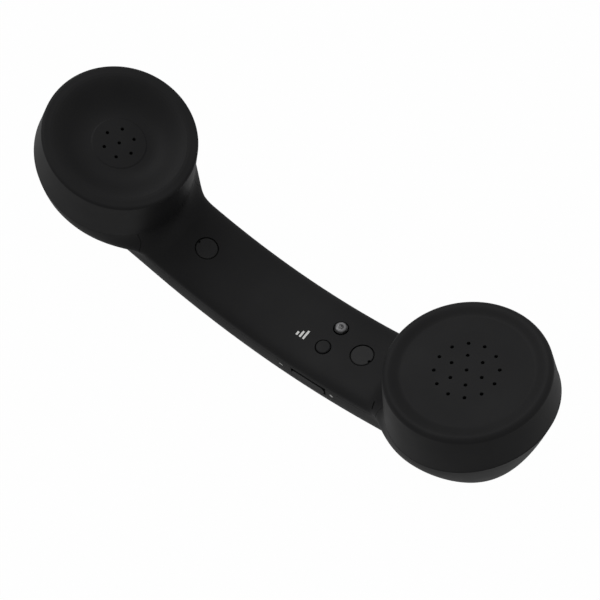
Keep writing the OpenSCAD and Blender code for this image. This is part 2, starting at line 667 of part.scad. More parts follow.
// speaker: frame, magnet, coil, cone, gasket, clamp and screws, all under the earpiece dish
gasket_top = speaker_seat_z + seat_gap;
frame_top = speaker_seat_z + gasket_t;
basket_r = magnet_r + 1.4;
basket_t = 0.8;
coil_r = magnet_r * 0.55;
module speaker_gasket() color("#3b3d41") at_ear() difference() {
    post(speaker_r - 0.2, -frame_top + seat_gap, -gasket_top);
    post(seat_in_r, -frame_top - 1, 0);
}
module speaker_frame() color("#8d9094") at_ear() rotate_extrude() polygon([
    [seat_in_r, -frame_top], [speaker_r, -frame_top], [speaker_r, -frame_top - flange_t],
    [seat_in_r, -frame_top - flange_t], [basket_r, -frame_top - basket_h + 1],
    [basket_r, -frame_top - basket_h], [coil_r + 1, -frame_top - basket_h],
    [coil_r + 1, -frame_top - basket_h + basket_t], [basket_r - basket_t, -frame_top - basket_h + basket_t],
    [seat_in_r - basket_t * 1.4, -frame_top - flange_t]]);
module speaker_magnet() color("#4a4c50") at_ear() {
    top = -frame_top - basket_h - seat_gap;
    post(magnet_r, top - magnet_h, top);
    post(coil_r - 0.6, top - eps, top + basket_h - 3.4);
}
module voice_coil() color("#b87333") at_ear() difference() {
    post(coil_r + 0.5, -frame_top - basket_h + 0.3, -frame_top - 2.75);
    post(coil_r, -frame_top - basket_h - 1, 0);
}
module speaker_cone() color("#2f3134") at_ear() rotate_extrude() polygon([
    [0, -frame_top - 1.4], [coil_r, -frame_top - 2.3], [seat_in_r - 3, -frame_top - 0.7],
    [seat_in_r - 1.1, -frame_top - 0.3], [seat_in_r - 1.1, -frame_top - 0.7],
    [seat_in_r - 3, -frame_top - 1.1], [coil_r, -frame_top - 2.7], [0, -frame_top - 1.8]]);
terminal_top = -frame_top - basket_h - seat_gap;
terminal_h = 1.4;
module speaker_terminal() color("#8a6a3a") at_ear() translate([magnet_r + 1.9, wire_y - 5.3, 0])
    block(3.5, 5, terminal_top - terminal_h, terminal_top);
module speaker_clamp() color("#9a9da1") at_ear() {
    difference() {
        union() {
            post(speaker_r + 0.6, -clamp_z - 1, -clamp_z - seat_gap);
            ear_posts() post(post_r, -clamp_z - 1, -clamp_z - seat_gap);
            for (a = [30, 150, 270]) rotate(a) translate([speaker_r + 1.2, 0, 0])
                block(4.6, 4, -clamp_z - 1, -clamp_z - seat_gap);
        }
        post(seat_in_r + 0.3, -clamp_z - 2, 0);
        ear_posts() post(small_screw_d / 2 + 0.15, -clamp_z - 2, 0);
    }
}
module speaker_screws() color("#b9bcc0") at_ear() ear_posts() mirror([0, 0, 1])
    screw(small_screw_d, small_head_d, small_head_h, 5, clamp_z + 1 + seat_gap, 0.5);
mesh_t = 0.3;
module ear_mesh() color("#3a3b3d") at_ear()
    post(ear_disc_r - 1, -ear_depth - cap_wall - mesh_t - 0.3, -ear_depth - cap_wall - 0.3);

// microphone in its rubber boot behind the sound holes
mesh_z = mouth_under + seat_gap;
boot_top = mesh_z + mesh_t + 0.2;
boot_floor = 1;
module mic_mesh() color("#3a3b3d") at_mouth() {
    post(boot_r - 0.3, -mesh_z - mesh_t, -mesh_z);
    difference() {
        post(mouth_ring_b + 2.4, -mesh_z - mesh_t, -mesh_z);
        post(boot_r + collar_wall + 0.3, -mesh_z - mesh_t - 1, 0);
    }
}
module mic_boot() color("#2b2c2e") at_mouth() difference() {
    post(boot_r, -boot_top - mic_h - boot_floor, -boot_top);
    post(mic_d / 2 + seat_gap, -boot_top - mic_h, 0);
    for (s = [-1, 1]) translate([0, s * 1.3, 0])
        post(wire_d / 2 + 0.1, -boot_top - mic_h - boot_floor - 1, 0, $fn = 24);
}
module mic_capsule() color("#b9bcc0") at_mouth()
    post(mic_d / 2, -boot_top - mic_h + seat_gap, -boot_top - 0.3);

// wires: pairs that run along the handle and up into the bowls
wire_d = 1;
wire_pitch = 1.6;
wire_y = battery_w / 2 + 1.1;
wire_depth = 7.4;
wire_low = front_boss_end + wire_d / 2 + 0.4;
function arc_end(x, y, depth) =
    let (r = face_arc_r + depth, a = asin(x / r)) [r * sin(a), y, arc_mid[1] - r * cos(a)];
// a point given in the earpiece cap's own frame
function in_ear(p) = [rim_mid[0] + p[0] * cos(cap_cant) + p[2] * sin(cap_cant), p[1],
                      rim_mid[1] - p[0] * sin(cap_cant) + p[2] * cos(cap_cant)];
function in_mouth(p) = let (q = in_ear(p)) [-q[0], q[1], q[2]];
// points along the handle from x0 to x1
function along(x0, x1, y, n) = [for (i = [0:n]) arc_end(x0 + (x1 - x0) * i / n, y, wire_depth)];
// ball at the bend in b of a wire from a, turned so that its pole lies inside the wire
module bend(a, b) translate(b) aimed(b - a) rotate([7, 0, 0]) sphere(d = wire_d + 0.35, $fn = 24);
module wire_run(pts) {
    for (i = [0:len(pts) - 2]) rod(pts[i], pts[i + 1], wire_d);
    for (i = [1:len(pts) - 2]) bend(pts[i - 1], pts[i]);
}
module speaker_wires() color("#a8322d") for (k = [0, 1]) {
    y = wire_y + k * wire_pitch;
    wire_run(concat([in_ear([magnet_r + 2.2, y - 6, terminal_top - terminal_h - 0.35]),
                     in_ear([magnet_r + 3.5, y - 5.6, terminal_top - terminal_h - 2.5]),
                     in_ear([lip_r - 6, y, -cap_h_in - 5])],
                    along(-43, 7, y, 4),
                    [arc_end(board_x - socket_x / 2, y - wire_pitch, socket_depth - wire_d / 2 - 0.2)]));
}
module battery_wires() color("#a8322d") for (k = [-1, 1])
    rod(arc_end(battery_x + battery_l / 2 + 0.2, k, battery_depth + 2.4),
        arc_end(board_x - socket_x - 2, k, board_depth - 1.4), wire_d);
module mic_wires() color("#e6e4dc") for (k = [-1, 1]) {
    y = mic_socket_y + 0.6 + k * wire_pitch / 2;
    end_z = -boot_top - mic_h - boot_floor;
    wire_run(concat([in_mouth([0, k * 1.3, end_z + boot_floor]), in_mouth([0, k * 1.3, end_z - 2]),
                     in_mouth([lip_r - 6, y + 4, -cap_h_in - 5])],
                    [arc_end(mouth_plug_x + 7.2, y + 4, wire_depth), arc_end(mouth_plug_x + 0.2, y + 2.2, wire_low),
                     arc_end(board_x + socket_x + 3, y - 0.4, board_depth - 1.4)]));
}

handle_back();
handle_front();
ear_cap();
mouth_cap();
ear_plug();
mouth_plug();
shell_screws();
answer_button();
answer_switch();
lamp_lens();
lamp();
volume_rocker();
rocker_pin();
rocker_bracket();
rocker_switches();
main_board();
board_screws();
radio_can();
wire_sockets();
charge_socket();
battery();
battery_pad();
speaker_gasket();
speaker_frame();
speaker_magnet();
voice_coil();
speaker_cone();
speaker_terminal();
speaker_clamp();
speaker_screws();
ear_mesh();
mic_mesh();
mic_boot();
mic_capsule();
battery_wires();
speaker_wires();
mic_wires();
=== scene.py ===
import math

import bpy
import bmesh
from mathutils import Matrix, Vector


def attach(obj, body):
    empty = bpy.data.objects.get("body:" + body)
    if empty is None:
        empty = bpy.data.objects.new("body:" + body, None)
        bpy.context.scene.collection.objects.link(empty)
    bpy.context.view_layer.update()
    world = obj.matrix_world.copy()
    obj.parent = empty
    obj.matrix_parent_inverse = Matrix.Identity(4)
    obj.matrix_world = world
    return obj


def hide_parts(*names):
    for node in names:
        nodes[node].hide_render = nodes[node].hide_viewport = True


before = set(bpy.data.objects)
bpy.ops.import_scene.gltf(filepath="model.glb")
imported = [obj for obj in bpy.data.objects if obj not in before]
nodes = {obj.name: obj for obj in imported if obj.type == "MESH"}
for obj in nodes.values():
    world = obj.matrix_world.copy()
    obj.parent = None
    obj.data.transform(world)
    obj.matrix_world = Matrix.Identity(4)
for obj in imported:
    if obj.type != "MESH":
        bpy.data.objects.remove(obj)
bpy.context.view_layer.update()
mm = 0.001
print("frame loaded:", len(nodes), "nodes")

# camera: the place and lens that the circles of the two caps give
cameraPlace = dict(
    spot=(130.9, -177.0, 431.7),
    right=(0.7941, 0.6074, 0.0232),
    down=(0.5431, -0.6919, -0.4758),
    lens=75.0,
)


def makeCamera(place):
    data = bpy.data.cameras.new("camera")
    data.lens = place["lens"]
    data.sensor_width = 36.0
    data.clip_start, data.clip_end = 0.01, 20.0
    cam = bpy.data.objects.new("camera", data)
    bpy.context.scene.collection.objects.link(cam)
    right = Vector(place["right"]).normalized()
    up = -Vector(place["down"])
    up = (up - right * up.dot(right)).normalized()
    back = right.cross(up)
    turn = Matrix((right, up, back)).transposed().to_4x4()
    cam.matrix_world = Matrix.Translation(Vector(place["spot"]) * mm) @ turn
    bpy.context.scene.camera = cam
    return cam


makeCamera(cameraPlace)
print("camera ready")

# materials
def startMaterial(name, colour, rough, metal=0.0, specular=0.5):
    mat = bpy.data.materials.new(name)
    mat.use_nodes = True
    tree = mat.node_tree
    skin = tree.nodes["Principled BSDF"]
    skin.inputs["Base Color"].default_value = (*colour, 1.0)
    skin.inputs["Roughness"].default_value = rough
    skin.inputs["Metallic"].default_value = metal
    skin.inputs["Specular IOR Level"].default_value = specular
    return mat, tree, skin


def addNode(tree, kind, **settings):
    node = tree.nodes.new(kind)
    for key, value in settings.items():
        if key in node.inputs:
            node.inputs[key].default_value = value
        else:
            setattr(node, key, value)
    return node


def speckle(tree, size, detail=3.0):
    # noise in the object's own coordinates; size is the width of a speck in millimetres
    place = addNode(tree, "ShaderNodeTexCoord")
    noise = addNode(tree, "ShaderNodeTexNoise", Scale=1.0 / (size * mm), Detail=detail)
    tree.links.new(place.outputs["Object"], noise.inputs["Vector"])
    return noise


def tintBetween(tree, skin, noise, dark, light, low=0.35, high=0.65):
    ramp = addNode(tree, "ShaderNodeValToRGB")
    ramp.color_ramp.elements[0].position, ramp.color_ramp.elements[1].position = low, high
    ramp.color_ramp.elements[0].color = (*dark, 1.0)
    ramp.color_ramp.elements[1].color = (*light, 1.0)
    tree.links.new(noise.outputs["Fac"], ramp.inputs["Fac"])
    tree.links.new(ramp.outputs["Color"], skin.inputs["Base Color"])


def roughBetween(tree, skin, noise, low, high):
    span = addNode(tree, "ShaderNodeMapRange")
    span.inputs["To Min"].default_value, span.inputs["To Max"].default_value = low, high
    tree.links.new(noise.outputs["Fac"], span.inputs["Value"])
    tree.links.new(span.outputs["Result"], skin.inputs["Roughness"])


def grainBump(tree, skin, noise, depth, strength):
    bump = addNode(tree, "ShaderNodeBump", Strength=strength, Distance=depth * mm)
    tree.links.new(noise.outputs["Fac"], bump.inputs["Height"])
    tree.links.new(bump.outputs["Normal"], skin.inputs["Normal"])


def mouldedPlastic(name, dark, light, rough, grain=0.35, depth=0.02, strength=0.25, specular=0.5):
    # moulded plastic: a fine even grain, slow drifts of tone and gloss
    mat, tree, skin = startMaterial(name, light, rough, specular=specular)
    cloud = speckle(tree, 26.0, 4.0)
    tintBetween(tree, skin, cloud, dark, light)
    drift = speckle(tree, 9.0, 5.0)
    roughBetween(tree, skin, drift, rough - 0.05, rough + 0.06)
    fine = speckle(tree, grain, 2.0)
    grainBump(tree, skin, fine, depth, strength)
    return mat


def brushedMetal(name, dark, light, rough, stretch=(40.0, 2.0, 40.0)):
    mat, tree, skin = startMaterial(name, light, rough, metal=1.0)
    place = addNode(tree, "ShaderNodeTexCoord")
    pull = addNode(tree, "ShaderNodeMapping")
    pull.inputs["Scale"].default_value = stretch
    lines = addNode(tree, "ShaderNodeTexNoise", Scale=60.0, Detail=5.0)
    tree.links.new(place.outputs["Object"], pull.inputs["Vector"])
    tree.links.new(pull.outputs["Vector"], lines.inputs["Vector"])
    tintBetween(tree, skin, lines, dark, light, 0.3, 0.7)
    roughBetween(tree, skin, lines, rough - 0.06, rough + 0.1)
    grainBump(tree, skin, lines, 0.01, 0.3)
    return mat


finishes = dict(
    shellDark=(0.0172, 0.0172, 0.0178),
    shellLight=(0.0208, 0.0208, 0.0214),
    shellRough=0.5,
    shellSpecular=0.1,
    plugDark=(0.0205, 0.0205, 0.0211),
    plugLight=(0.025, 0.025, 0.0256),
    keyDark=(0.0145, 0.0145, 0.0151),
    keyLight=(0.0178, 0.0178, 0.0184),
    printWhite=(0.72, 0.72, 0.7),
)

softBlack = mouldedPlastic("softBlackShell", finishes["shellDark"], finishes["shellLight"],
                           finishes["shellRough"], 0.3, 0.012, 0.2, finishes["shellSpecular"])
plugBlack = mouldedPlastic("plugBlack", finishes["plugDark"], finishes["plugLight"], 0.42, 0.25, 0.01, 0.2, 0.15)
keyRubber = mouldedPlastic("keyRubber", finishes["keyDark"], finishes["keyLight"], 0.45, 0.25, 0.01, 0.15, 0.12)
bootRubber = mouldedPlastic("bootRubber", (0.01, 0.01, 0.01), (0.016, 0.016, 0.016), 0.7, 0.4, 0.03, 0.3, 0.3)
foamGrey = mouldedPlastic("foamGrey", (0.02, 0.02, 0.022), (0.045, 0.045, 0.048), 0.9, 0.5, 0.15, 0.8, 0.2)
switchDark = mouldedPlastic("switchDark", (0.02, 0.02, 0.022), (0.035, 0.035, 0.037), 0.45)
socketWhite = mouldedPlastic("socketWhite", (0.62, 0.6, 0.54), (0.72, 0.7, 0.64), 0.4)
lampChip = mouldedPlastic("lampChip", (0.75, 0.72, 0.55), (0.85, 0.83, 0.72), 0.3)
boardGreen = mouldedPlastic("boardGreen", (0.012, 0.1, 0.045), (0.02, 0.15, 0.07), 0.3, 1.2, 0.03, 0.3)
boardBrown = mouldedPlastic("boardBrown", (0.18, 0.1, 0.035), (0.26, 0.16, 0.06), 0.5, 0.8)
conePaper = mouldedPlastic("conePaper", (0.03, 0.03, 0.032), (0.055, 0.055, 0.058), 0.85, 0.6, 0.08, 0.6, 0.2)
wireRed = mouldedPlastic("wireRed", (0.38, 0.02, 0.015), (0.48, 0.03, 0.02), 0.4, 0.8)
wireWhite = mouldedPlastic("wireWhite", (0.6, 0.59, 0.55), (0.7, 0.69, 0.65), 0.4, 0.8)
printWhite = mouldedPlastic("printWhite", (0.84, 0.84, 0.82), (0.92, 0.92, 0.9), 0.5, 0.15, 0.01, 0.3)
screwSteel = brushedMetal("screwSteel", (0.38, 0.39, 0.41), (0.55, 0.56, 0.58), 0.3)
tinnedSteel = brushedMetal("tinnedSteel", (0.55, 0.56, 0.57), (0.7, 0.71, 0.72), 0.28)
pressedSteel = brushedMetal("pressedSteel", (0.36, 0.37, 0.39), (0.5, 0.51, 0.53), 0.35)
magnetDark = brushedMetal("magnetDark", (0.09, 0.09, 0.1), (0.16, 0.16, 0.17), 0.4, (6.0, 6.0, 6.0))
coilCopper = brushedMetal("coilCopper", (0.5, 0.22, 0.1), (0.65, 0.32, 0.16), 0.3, (2.0, 2.0, 120.0))
batteryFoil = brushedMetal("batteryFoil", (0.42, 0.44, 0.47), (0.55, 0.57, 0.6), 0.32, (8.0, 8.0, 8.0))


def wovenCloth(name, dark, light, pitch):
    # acoustic cloth: two crossed sets of threads
    mat, tree, skin = startMaterial(name, light, 0.85, specular=0.2)
    place = addNode(tree, "ShaderNodeTexCoord")
    waves = []
    for axis in ("X", "Y"):
        wave = addNode(tree, "ShaderNodeTexWave", Scale=0.31 / (pitch * mm))
        wave.bands_direction = axis
        tree.links.new(place.outputs["Object"], wave.inputs["Vector"])
        waves.append(wave)
    cross = addNode(tree, "ShaderNodeMath", operation="MULTIPLY")
    tree.links.new(waves[0].outputs["Fac"], cross.inputs[0])
    tree.links.new(waves[1].outputs["Fac"], cross.inputs[1])
    ramp = addNode(tree, "ShaderNodeValToRGB")
    ramp.color_ramp.elements[0].color = (*dark, 1.0)
    ramp.color_ramp.elements[1].color = (*light, 1.0)
    tree.links.new(cross.outputs["Value"], ramp.inputs["Fac"])
    tree.links.new(ramp.outputs["Color"], skin.inputs["Base Color"])
    bump = addNode(tree, "ShaderNodeBump", Strength=0.6, Distance=0.05 * mm)
    tree.links.new(cross.outputs["Value"], bump.inputs["Height"])
    tree.links.new(bump.outputs["Normal"], skin.inputs["Normal"])
    return mat


meshCloth = wovenCloth("meshCloth", (0.004, 0.004, 0.004), (0.012, 0.012, 0.012), 0.35)


print("materials ready")

# floor, backdrop and light
studio = dict(floorWhite=0.3, floorSeen=0.99, floorInGloss=0.45, skyLow=0.45, skyHigh=0.4, skyEdge=0.32, keyPower=2.9)


def seenShare(tree, values):
    # how much of the floor is its own white: most for the camera, some in gloss and glass
    path = addNode(tree, "ShaderNodeLightPath")
    shares = []
    for kind, share in (("Is Camera Ray", values["floorSeen"]), ("Is Glossy Ray", values["floorInGloss"]),
                        ("Is Transmission Ray", values["floorInGloss"])):
        step = addNode(tree, "ShaderNodeMath", operation="MULTIPLY")
        step.inputs[1].default_value = share
        tree.links.new(path.outputs[kind], step.inputs[0])
        shares.append(step.outputs["Value"])
    most = shares[0]
    for other in shares[1:]:
        step = addNode(tree, "ShaderNodeMath", operation="MAXIMUM")
        tree.links.new(most, step.inputs[0])
        tree.links.new(other, step.inputs[1])
        most = step.outputs["Value"]
    return most


def paleFloor(values):
    mesh = bpy.data.meshes.new("floor")
    half = 3.0
    mesh.from_pydata([(-half, -half, 0), (half, -half, 0), (half, half, 0), (-half, half, 0)], [], [(0, 1, 2, 3)])
    floor = bpy.data.objects.new("floor", mesh)
    bpy.context.scene.collection.objects.link(floor)
    mat, tree, skin = startMaterial("paleFloor", (values["floorWhite"],) * 3, 0.9, specular=0.1)
    glow = addNode(tree, "ShaderNodeEmission", Strength=1.0)
    glow.inputs["Color"].default_value = (1, 1, 1, 1)
    blend = addNode(tree, "ShaderNodeMixShader")
    tree.links.new(seenShare(tree, values), blend.inputs["Fac"])
    tree.links.new(skin.outputs["BSDF"], blend.inputs[1])
    tree.links.new(glow.outputs["Emission"], blend.inputs[2])
    tree.links.new(blend.outputs["Shader"], tree.nodes["Material Output"].inputs["Surface"])
    mesh.materials.append(mat)


def paleSky(values):
    world = bpy.data.worlds.new("studio")
    bpy.context.scene.world = world
    world.use_nodes = True
    tree = world.node_tree
    back = tree.nodes["Background"]
    place = addNode(tree, "ShaderNodeTexCoord")
    split = addNode(tree, "ShaderNodeSeparateXYZ")
    ramp = addNode(tree, "ShaderNodeValToRGB")
    low, high = values["skyLow"], values["skyHigh"]
    ramp.color_ramp.elements[0].position, ramp.color_ramp.elements[1].position = 0.02, values["skyEdge"]
    ramp.color_ramp.elements[0].color = (low, low, low, 1)
    ramp.color_ramp.elements[1].color = (high, high, high, 1)
    tree.links.new(place.outputs["Generated"], split.inputs["Vector"])
    tree.links.new(split.outputs["Z"], ramp.inputs["Fac"])
    tree.links.new(ramp.outputs["Color"], back.inputs["Color"])
    plain = addNode(tree, "ShaderNodeBackground", Strength=1.0)
    plain.inputs["Color"].default_value = (1, 1, 1, 1)
    blend = addNode(tree, "ShaderNodeMixShader")
    path = addNode(tree, "ShaderNodeLightPath")
    tree.links.new(path.outputs["Is Camera Ray"], blend.inputs["Fac"])
    tree.links.new(back.outputs["Background"], blend.inputs[1])
    tree.links.new(plain.outputs["Background"], blend.inputs[2])
    tree.links.new(blend.outputs["Shader"], tree.nodes["World Output"].inputs["Surface"])


def softbox(name, spot, aim, size, power):
    data = bpy.data.lights.new(name, "AREA")
    data.shape, data.size, data.size_y, data.energy = "RECTANGLE", size[0], size[1], power
    lamp = bpy.data.objects.new(name, data)
    bpy.context.scene.collection.objects.link(lamp)
    lamp.location = spot
    lamp.rotation_mode = "QUATERNION"
    lamp.rotation_quaternion = (Vector(aim) - Vector(spot)).to_track_quat("-Z", "Y")


paleFloor(studio)
paleSky(studio)
softbox("keySoftbox", (-0.6, 0.15, 0.85), (0, 0, 0.03), (0.7, 0.7), studio["keyPower"])
view = bpy.context.scene.view_settings
view.view_transform = "Standard"
print("floor and lights ready")

# the handle's surface, from the same sizes as the source, in millimetres
handset = dict(
    capSpacing=149.2, rimRise=43.5, capCant=16.8, capRadius=28.3, capFlare=0.11, wallOut=14.1, wallIn=21.5,
    faceArc=178.0, thick=21.0, halfWidth=16.8, crown=5.3, skin=2.2, seam=0.16, restCut=1.0,
    bowlStart=79.0, pullTop=30.5, pullLow=27.5, lean=2.5, backSquare=3.3, faceSquare=3.5, curveShare=0.85,
    neckAngle=32.8, neckPower=2.2, widthPower=0.885, crownPower=0.776,
)


def easeIn(s):
    return s * s * (3 - 2 * s)


class HandleForm:
    # sections run from the cap's edge (0) over the neck (1) to the middle (2)
    def __init__(self, sizes):
        self.sizes = sizes
        cant = math.radians(sizes["capCant"])
        self.faceZ = sizes["thick"] - sizes["restCut"]
        self.rimZ = self.faceZ + sizes["rimRise"]
        self.mid = Vector((0, self.faceZ + sizes["faceArc"]))
        self.backArc = sizes["faceArc"] + sizes["thick"]
        self.axisOut = Vector((math.sin(cant), math.cos(cant)))
        self.axisSide = Vector((math.cos(cant), -math.sin(cant)))
        self.rimMid = Vector((-sizes["capSpacing"] / 2, self.rimZ))
        flare = math.atan(sizes["capFlare"])
        self.edgeIn = self.rimMid + self.axisSide * self.capAt(sizes["wallIn"]) - self.axisOut * sizes["wallIn"]
        self.edgeOut = self.rimMid - self.axisSide * self.capAt(sizes["wallOut"]) - self.axisOut * sizes["wallOut"]
        self.edgeHalf = math.sqrt(self.capAt(sizes["wallIn"]) * self.capAt(sizes["wallOut"]))
        normal = self.axisSide * math.cos(flare) + self.axisOut * math.sin(flare)
        away = self.edgeIn - self.mid
        self.neckR = (sizes["faceArc"] ** 2 - away.dot(away)) / (2 * (normal.dot(away) + sizes["faceArc"]))
        self.neckMid = self.edgeIn + normal * self.neckR
        self.neckTurn = math.atan2(-self.neckMid.x, self.mid.y - self.neckMid.y)
        self.turnStart = math.atan2(-normal.y, -normal.x)
        if self.turnStart < 0:
            self.turnStart += 2 * math.pi
        self.turnEnd = 1.5 * math.pi - self.neckTurn
        self.bowlTurn = math.asin(sizes["bowlStart"] / self.backArc)
        self.bowlLow = self.mid - Vector((math.sin(self.bowlTurn), math.cos(self.bowlTurn))) * self.backArc
        self.lowDir = Vector((-math.cos(self.bowlTurn), math.sin(self.bowlTurn)))
        lean = math.radians(sizes["lean"])
        self.topDir = Vector((math.sin(lean), -math.cos(lean)))

    def capAt(self, depth):
        return self.sizes["capRadius"] + self.sizes["capFlare"] * depth

    def arcPoint(self, radius, turn):
        return self.mid - Vector((math.sin(turn), math.cos(turn))) * radius

    def section(self, s):
        z = self.sizes
        share = z["curveShare"]
        if s <= 1:
            a = self.turnStart + (self.turnEnd - self.turnStart) * s
            face = self.neckMid + Vector((math.cos(a), math.sin(a))) * self.neckR
            if s < share:
                t = s / share
                p0, p1 = self.edgeOut, self.edgeOut + self.topDir * z["pullTop"]
                p2, p3 = self.bowlLow + self.lowDir * z["pullLow"], self.bowlLow
                back = p0 * (1 - t) ** 3 + p1 * 3 * (1 - t) ** 2 * t + p2 * 3 * (1 - t) * t * t + p3 * t ** 3
            else:
                turn = self.bowlTurn + (self.neckTurn - self.bowlTurn) * (s - share) / (1 - share)
                back = self.arcPoint(self.backArc, turn)
            width = self.edgeHalf + (z["halfWidth"] - self.edgeHalf) * easeIn(s ** z["widthPower"])
            crown = 0.5 + (z["crown"] / z["thick"] - 0.5) * easeIn(s) ** z["crownPower"]
        else:
            turn = self.neckTurn * (2 - s)
            face, back = self.arcPoint(z["faceArc"], turn), self.arcPoint(self.backArc, turn)
            width, crown = z["halfWidth"], z["crown"] / z["thick"]
        depth = (face - back).length
        grown = easeIn(min(1.0, s))
        squares = [2 + (z[side] - 2) * grown for side in ("faceSquare", "backSquare")]
        return dict(face=face, up=(face - back) / depth, depth=depth, width=width, crown=crown, squares=squares)

    def flat(self, cut, angle):
        c, s = math.cos(angle), math.sin(angle)
        power = cut["squares"][0 if c >= 0 else 1]
        reach = cut["depth"] * (cut["crown"] if c >= 0 else 1 - cut["crown"])
        grow = lambda v: math.copysign(abs(v) ** (2 / power), v)
        return grow(c) * reach, grow(s) * cut["width"]

    def point(self, s, angle, inset=0.0):
        half = 4 - s if s > 2 else s
        cut = self.section(half)
        x, y = self.flat(cut, angle)
        if inset:
            step = math.radians(0.5)
            a, b = self.flat(cut, angle + step), self.flat(cut, angle - step)
            tx, ty = a[0] - b[0], a[1] - b[1]
            long = math.hypot(tx, ty)
            x, y = x - ty / long * inset, y + tx / long * inset
        at = cut["face"] - cut["up"] * cut["depth"] * cut["crown"] + cut["up"] * x
        return Vector((-at.x if s > 2 else at.x, y, at.y)), cut

    def edgeAngle(self, s):
        low = self.sizes["neckAngle"]
        return math.radians(low + (90 - low) * easeIn(min(1.0, s)) ** self.sizes["neckPower"])

    def gapTurn(self, cut, limit, way):
        # the turn from the parting edge at which half of the seam's width is reached
        turn = math.radians(0.2)
        x, y = self.flat(cut, limit)
        for step in range(7):
            a, b = self.flat(cut, limit + way * turn)
            turn *= (self.sizes["seam"] / 2 / math.hypot(a - x, b - y)) ** 1.3
        return turn


form = HandleForm(handset)


def newPiece(name, verts, faces):
    bm = bmesh.new()
    corners = [bm.verts.new(v) for v in verts]
    for face in faces:
        bm.faces.new([corners[i] for i in face])
    bmesh.ops.recalc_face_normals(bm, faces=bm.faces)
    mesh = bpy.data.meshes.new(name)
    bm.to_mesh(mesh)
    bm.free()
    piece = bpy.data.objects.new(name, mesh)
    bpy.context.scene.collection.objects.link(piece)
    return piece


def shellMesh(name, front, cols, bowlRows, archRows):
    rows = [i / bowlRows for i in range(bowlRows + 1)] + [1 + i / archRows for i in range(1, archRows + 1)]
    rows += [4 - s for s in reversed(rows[:-1])]
    verts, faces = [], []
    for inset in (0.0, handset["skin"]):
        for s in rows:
            half = 4 - s if s > 2 else s
            limit = form.edgeAngle(half)
            gap = form.gapTurn(form.section(half), limit, -1 if front else 1)
            a0 = gap - limit if front else limit + gap
            a1 = limit - gap if front else 2 * math.pi - limit - gap
            for i in range(cols + 1):
                p, cut = form.point(s, a0 + (a1 - a0) * i / cols, inset)
                verts.append(p * mm)
    wide, long = cols + 1, len(rows)
    at = lambda layer, i, j: layer * wide * long + i * wide + j
    for i in range(long - 1):
        for j in range(cols):
            faces.append((at(0, i, j), at(0, i, j + 1), at(0, i + 1, j + 1), at(0, i + 1, j)))
            faces.append((at(1, i, j), at(1, i + 1, j), at(1, i + 1, j + 1), at(1, i, j + 1)))
        faces.append((at(0, i + 1, 0), at(1, i + 1, 0), at(1, i, 0), at(0, i, 0)))
        faces.append((at(0, i, cols), at(1, i, cols), at(1, i + 1, cols), at(0, i + 1, cols)))
    for j in range(cols):
        faces.append((at(0, 0, j), at(1, 0, j), at(1, 0, j + 1), at(0, 0, j + 1)))
        faces.append((at(0, long - 1, j), at(0, long - 1, j + 1), at(1, long - 1, j + 1), at(1, long - 1, j)))
    return newPiece(name, verts, faces)


# openings and bosses, placed as in the source
controls = dict(
    buttonX=22.0, controlY=5.1, buttonWide=5.4, keyGap=0.4, lensX=22.7, lensWide=5.2, earPlugX=37.0, mouthPlugX=35.8,
    plugWide=8.5, plugGap=0.35, plugThick=1.5, rockerX=23.3, rockerLong=15.0, rockerHigh=3.6,
    portX=17.0, portWide=7.6, portHigh=2.7, portRoom=0.4, boardDepth=10.2,
    bossWide=11.2, bossDeep=7.5, backBossWide=6.7, headWide=4.8, headSeat=5.3,
)

# ribs and posts inside the back shell that carry the battery and the board
inside = dict(
    batteryX=-16.5, ribStep=9.0, ribTop=12.5, ribThick=1.4, ribWide=13.0, boardX=15.6, boardUnder=11.4,
    boardRibX=(-11.6, 12.0), boardRibHigh=5.0, posts=((-11.6, -8.0), (-11.6, 8.0), (12.0, 9.0)), postWide=4.4,
    postLow=15.9, bridgeLow=16.4, bridgeTop=13.9, bridgeWide=7.0, screwWide=1.8, screwDeep=4.5,
)


def crownDrop(y):
    # how far the face lies below its middle line at distance y from it
    power = handset["faceSquare"]
    return handset["crown"] * (1 - (1 - (abs(y) / handset["halfWidth"]) ** power) ** (1 / power))


controlDrop = crownDrop(controls["controlY"])
rockerZ = -handset["crown"] - controls["keyGap"] - 0.1 - controls["rockerHigh"] / 2


def onFace(x, y=0.0, z=0.0):
    # frame on the face's middle line at distance x, with z along its normal
    turn = math.asin(x / handset["faceArc"])
    lift = Matrix.Translation((0, 0, form.mid.y))
    drop = Matrix.Translation((0, y, z - handset["faceArc"]))
    return lift @ Matrix.Rotation(-turn, 4, "Y") @ drop


def addTube(bm, place, radius, low, high, sides=96):
    mat = place @ Matrix.Translation((0, 0, (low + high) / 2))
    bmesh.ops.create_cone(bm, cap_ends=True, segments=sides, radius1=radius, radius2=radius, depth=high - low, matrix=mat)


def addBrick(bm, place, size):
    bmesh.ops.create_cube(bm, size=1.0, matrix=place @ Matrix.Diagonal((*size, 1.0)))


def combine(piece, bm, how):
    mesh = bpy.data.meshes.new("tool")
    bmesh.ops.recalc_face_normals(bm, faces=bm.faces)
    bm.transform(Matrix.Scale(mm, 4))
    bm.to_mesh(mesh)
    bm.free()
    tool = bpy.data.objects.new("tool", mesh)
    bpy.context.scene.collection.objects.link(tool)
    step = piece.modifiers.new("combine", "BOOLEAN")
    step.operation, step.object, step.solver = how, tool, "EXACT"
    bpy.context.view_layer.update()
    done = bpy.data.meshes.new_from_object(piece.evaluated_get(bpy.context.evaluated_depsgraph_get()))
    piece.modifiers.clear()
    piece.data = done
    bpy.data.objects.remove(tool)


def finishPiece(piece, mat, body, sharp=32.0):
    piece.data.materials.clear()
    piece.data.materials.append(mat)
    piece.data.polygons.foreach_set("use_smooth", [True] * len(piece.data.polygons))
    piece.data.set_sharp_from_angle(angle=math.radians(sharp))
    piece.data.update()
    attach(piece, body)


